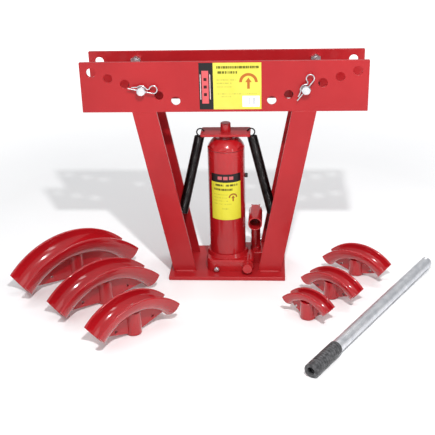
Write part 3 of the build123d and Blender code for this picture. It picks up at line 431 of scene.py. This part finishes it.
def add_mesh(name, points, faces, material):
    """A smooth-shaded mesh object in the scene."""
    mesh = bpy.data.meshes.new(name)
    mesh.from_pydata([tuple(point) for point in points], [], faces)
    mesh.polygons.foreach_set("use_smooth", [True] * len(mesh.polygons))
    mesh.materials.append(material)
    mesh.update()
    piece = bpy.data.objects.new(name, mesh)
    bpy.context.scene.collection.objects.link(piece)
    return piece


def swept_wire(line, radius, sides=10):
    """Points and faces of a round wire with closed ends along a line of points."""
    line = np.array([tuple(point) for point in line], float)
    tangents = np.gradient(line, axis=0)
    tangents /= np.linalg.norm(tangents, axis=1)[:, None]
    askew = (0.31, 0.87, 0.38)
    side = np.cross(tangents[0], askew)
    points = []
    for place, tangent in zip(line, tangents):
        side = side - tangent * np.dot(side, tangent)
        side /= np.linalg.norm(side)
        across = np.cross(tangent, side)
        for k in range(sides):
            angle = 2 * pi * k / sides
            points.append(place + radius * (cos(angle) * side + sin(angle) * across))
    faces = []
    for i in range(len(line) - 1):
        for k in range(sides):
            a, b = i * sides + k, i * sides + (k + 1) % sides
            faces.append((a, b, b + sides, a + sides))
    last = (len(line) - 1) * sides
    faces.append(tuple(range(sides))[::-1])
    faces.append(tuple(last + k for k in range(sides)))
    return points, faces


def hermite(start, leave, end, arrive, steps=12):
    """Points between start and end on a curve that leaves and arrives along two given vectors."""
    points = []
    for i in range(1, steps):
        t = i / steps
        points.append(start * (2 * t**3 - 3 * t**2 + 1) + leave * (t**3 - 2 * t**2 + t)
                      + end * (-2 * t**3 + 3 * t**2) + arrive * (t**3 - t**2))
    return points


def spring_line(side):
    """The wire's centre line: lower hook, crossing, close coils, crossing, upper hook."""
    along = (SPRING_TOP - SPRING_END).normalized()
    back = Vector((0, 1, 0))
    out = back.cross(along)
    base, reach = SPRING_END + along * WIRE, (SPRING_TOP - SPRING_END).length - 2 * WIRE

    def coil(angle):
        height = reach * (angle - COIL_START) / (COIL_END - COIL_START)
        return base + along * height + COIL * (out * cos(angle) + back * sin(angle))

    def heading(angle):
        return back * cos(angle) - out * sin(angle)

    lower = LUG_HOLE + along * HOOK
    line = [lower + HOOK * (back * sin(a) - along * cos(a)) for a in LOWER_HOOK_ANGLES]
    hook_end = LOWER_HOOK_ANGLES[-1]
    leave = back * cos(hook_end) + along * sin(hook_end)
    line += hermite(line[-1], leave * LOWER_HOOK_RUN * COIL,
                    coil(COIL_START), heading(COIL_START) * COIL_RUN * COIL)
    count = TURNS * STEPS_PER_TURN
    line += [coil(COIL_START + (COIL_END - COIL_START) * i / count) for i in range(count + 1)]

    right, up = Vector((1, 0, 0)), Vector((0, 0, 1))
    upper = [BAR_HOOK + HOOK * (right * sin(a) - up * cos(a)) for a in UPPER_HOOK_ANGLES]
    arrive = (upper[1] - upper[0]).normalized()
    line += hermite(line[-1], heading(COIL_END) * COIL_RUN * COIL,
                    upper[0], arrive * UPPER_HOOK_RUN * COIL)
    line += upper
    return [Vector((side * point.x, point.y, point.z)) for point in line]


def return_springs(steel):
    """Both springs, which stretch between the frame's lugs and the bar on the ram."""
    for name, side in (("left_spring", -1), ("right_spring", 1)):
        points, faces = swept_wire(spring_line(side), WIRE)
        if side < 0:
            faces = [face[::-1] for face in faces]
        spring = add_mesh(name + "_wire", points, faces, steel)
        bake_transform(spring)
        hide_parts(name)


def foot_welds(paint):
    """A rippled bead along each foot, where the leg meets the base plate."""
    points, faces = [], []
    around, spacing = WELD_POINTS_ACROSS, WELD_RIPPLE / WELD_STEPS_PER_RIPPLE
    generator = np.random.default_rng(4)
    lower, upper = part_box("foot_welds")
    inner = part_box("left_leg")[1].x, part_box("right_leg")[0].x
    for x0, x1 in ((lower.x, inner[0]), (inner[1], upper.x)):
        for y_side in (-1, 1):
            corner = (upper.y if y_side > 0 else lower.y) - y_side * WELD_SIZE
            count = int((x1 - x0) / spacing)
            wander = np.interp(np.arange(count), np.linspace(0, count, WELD_WANDER_POINTS),
                               generator.uniform(*WELD_WANDER, WELD_WANDER_POINTS))
            start = len(points)
            for i in range(count):
                ease = min(1.0, 0.35 + 6 * min(i, count - 1 - i) / count)
                for k in range(around):
                    angle = pi / 2 * k / (around - 1)
                    ripple = (i * spacing / WELD_RIPPLE + 0.55 * sin(2 * angle)) % 1.0
                    size = WELD_SIZE * wander[i] * ease * (0.84 + 0.13 * ripple**0.6)
                    y = corner + y_side * size * cos(angle)
                    points.append((x0 + i * spacing, y, lower.z + size * sin(angle)))
            for i in range(count - 1):
                for k in range(around - 1):
                    a = start + i * around + k
                    faces.append((a, a + 1, a + 1 + around, a + around)[::y_side])
    bead = add_mesh("weld_beads", points, faces, paint)
    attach(bead, "frame")
    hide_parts("foot_welds")


# Studio --------------------------------------------------------------------------------------

def add_camera():
    """The camera, which looks down at the tool from a little to its right."""
    yaw, pitch, roll = radians(CAMERA_YAW), radians(CAMERA_PITCH), radians(CAMERA_ROLL)
    forward = Vector((-sin(yaw) * cos(pitch), cos(yaw) * cos(pitch), -sin(pitch)))
    level = Vector((cos(yaw), sin(yaw), 0))
    upright = level.cross(forward)
    right = level * cos(roll) + upright * sin(roll)
    up = upright * cos(roll) - level * sin(roll)
    turn = Matrix((right, up, -forward)).transposed().to_4x4()
    data = bpy.data.cameras.new("camera")
    data.lens = CAMERA_LENS
    data.sensor_width = CAMERA_SENSOR
    camera = bpy.data.objects.new("camera", data)
    camera.matrix_world = Matrix.Translation(CAMERA_PLACE) @ turn
    bpy.context.scene.collection.objects.link(camera)
    bpy.context.scene.camera = camera


def add_light(name, place, target, width, height, power):
    """A rectangular lamp that points at a target."""
    data = bpy.data.lights.new(name, "AREA")
    data.shape = "RECTANGLE"
    data.size, data.size_y, data.energy = width, height, power
    light = bpy.data.objects.new(name, data)
    light.location = place
    light.rotation_euler = (Vector(target) - Vector(place)).to_track_quat("-Z", "Y").to_euler()
    bpy.context.scene.collection.objects.link(light)


def add_studio():
    """The floor, the sky and the lights."""
    points = [(x, y, -FLOOR_DROP) for x, y in FLOOR_CORNERS]
    add_mesh("floor", points, [(0, 1, 2, 3)], studio_floor())

    world = bpy.data.worlds.new("studio")
    world.use_nodes = True
    nodes, links = world.node_tree.nodes, world.node_tree.links
    place = nodes.new("ShaderNodeTexCoord").outputs["Generated"]
    split = nodes.new("ShaderNodeSeparateXYZ")
    ramp = nodes.new("ShaderNodeMapRange")
    links.new(place, split.inputs[0])
    links.new(split.outputs["Z"], ramp.inputs["Value"])
    for socket, value in (("From Min", 0.0), ("From Max", SKY_RISE),
                          ("To Min", SKY_LOW), ("To Max", SKY_HIGH)):
        ramp.inputs[socket].default_value = value
    links.new(ramp.outputs[0], nodes["Background"].inputs["Strength"])
    nodes["Background"].inputs["Color"].default_value = (0.97, 0.985, 1.0, 1.0)
    bpy.context.scene.world = world

    for light in LIGHTS:
        add_light(*light)

    scene = bpy.context.scene
    scene.view_settings.view_transform = "Standard"
    scene.view_settings.look = "None"


paint_model()
return_springs(plated("spring_black", srgb(70, 68, 68), srgb(34, 33, 34), rough=0.3, grain=0.004))
foot_welds(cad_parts["base_plate"].material_slots[0].material)
add_camera()
add_studio()
